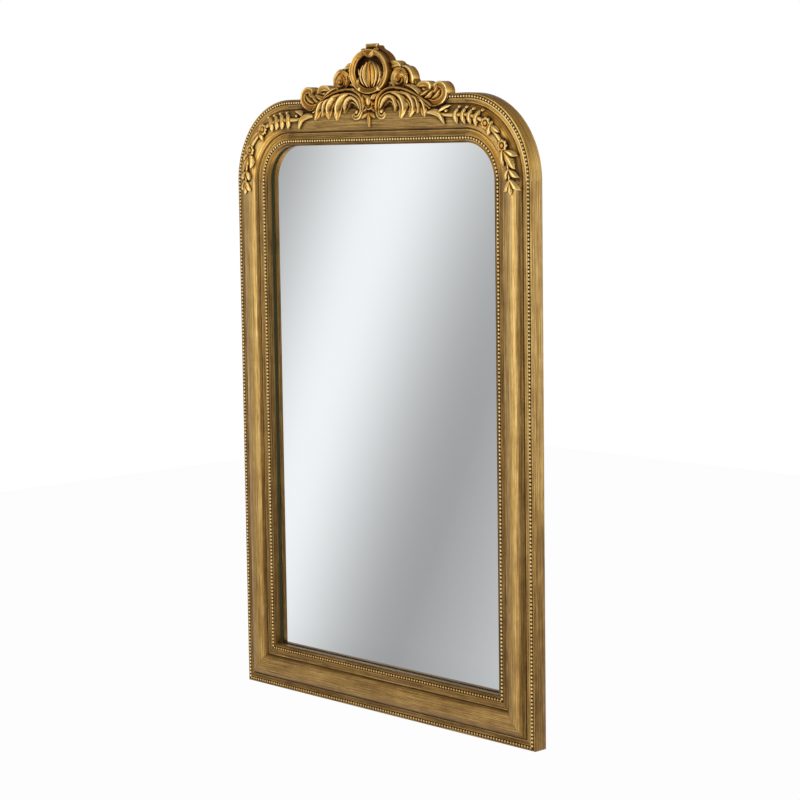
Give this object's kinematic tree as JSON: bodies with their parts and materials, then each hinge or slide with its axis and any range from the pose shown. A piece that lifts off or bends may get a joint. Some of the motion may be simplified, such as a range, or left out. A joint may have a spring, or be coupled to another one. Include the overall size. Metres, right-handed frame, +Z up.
{
  "type": "wall mirror",
  "caption": "Arched gilt wall mirror with pearl beading, a carved scrolled crest, corner garlands and hanging rings behind",
  "frame": {"origin": "middle of the foot: halfway across, halfway front to back of the whole piece, on the bottom edge", "axes": "+Z up the mirror, -Y out of its face, +Y towards the wall, +X to the right as seen from the front"},
  "size_m": [0.914, 0.0616, 1.456],
  "materials": {
    "antique_gilt": "worn antique gold over brown bole",
    "bright_gilt": "burnished gold on the carved ornament",
    "bead_gilt": "burnished gold on the beads",
    "raw_timber": "bare sawn timber",
    "silvered_glass": "silvered float glass",
    "dark_gasket": "dark green-black strip",
    "packing_card": "brown packing card",
    "backing_board": "brown hardboard",
    "zinc_steel": "zinc-plated steel",
    "bumper_rubber": "black rubber"
  },
  "bodies": {
    "mirror": {"arch_inner_bead_strip": "bead_gilt", "arch_outer_bead_strip": "bead_gilt", "backing_board": "backing_board", "bottom_inner_bead_strip": "bead_gilt", "bottom_outer_bead_strip": "bead_gilt", "bottom_rail": "antique_gilt", "crest_boss": "bright_gilt", "crest_palmette": "bright_gilt", "crest_ring": "bright_gilt", "crest_slab": "antique_gilt", "glazing_gasket": "dark_gasket", "left_acanthus": "bright_gilt", "left_bumper": "bumper_rubber", "left_corner_block": "antique_gilt", "left_crest_dowel": "raw_timber", "left_crown_tenon": "raw_timber", "left_garland": "bright_gilt", "left_hanger_strap": "zinc_steel", "left_inner_bead_strip": "bead_gilt", "left_lower_board_screw": "zinc_steel", "left_lower_hanger_screw": "zinc_steel", "left_lower_rosette": "bright_gilt", "left_mitre_tenon": "raw_timber", "left_outer_bead_strip": "bead_gilt", "left_rose": "bright_gilt", "left_shoulder_tenon": "raw_timber", "left_stile": "antique_gilt", "left_upper_board_screw": "zinc_steel", "left_upper_hanger_screw": "zinc_steel", "left_upper_rosette": "bright_gilt", "left_wing": "bright_gilt", "mirror_glass": "silvered_glass", "packing_sheet": "packing_card", "pendant_husk": "bright_gilt", "right_acanthus": "bright_gilt", "right_bumper": "bumper_rubber", "right_corner_block": "antique_gilt", "right_crest_dowel": "raw_timber", "right_crown_tenon": "raw_timber", "right_garland": "bright_gilt", "right_hanger_strap": "zinc_steel", "right_inner_bead_strip": "bead_gilt", "right_lower_board_screw": "zinc_steel", "right_lower_hanger_screw": "zinc_steel", "right_lower_rosette": "bright_gilt", "right_mitre_tenon": "raw_timber", "right_outer_bead_strip": "bead_gilt", "right_rose": "bright_gilt", "right_shoulder_tenon": "raw_timber", "right_stile": "antique_gilt", "right_upper_board_screw": "zinc_steel", "right_upper_hanger_screw": "zinc_steel", "right_upper_rosette": "bright_gilt", "right_wing": "bright_gilt", "top_rail": "antique_gilt", "top_roll": "bright_gilt"},
    "left_ring": {"left_hanging_ring": "zinc_steel"},
    "right_ring": {"right_hanging_ring": "zinc_steel"}
  },
  "joints": [
    {"name": "left_ring_swing", "type": "hinge", "parent": "mirror", "child": "left_ring", "pos_m": [-0.417, 0.02625, 1.02], "axis": [1, 0, 0], "range_deg": [0, 180]},
    {"name": "right_ring_swing", "type": "hinge", "parent": "mirror", "child": "right_ring", "pos_m": [0.417, 0.02625, 1.02], "axis": [1, 0, 0], "range_deg": [0, 180]}
  ]
}
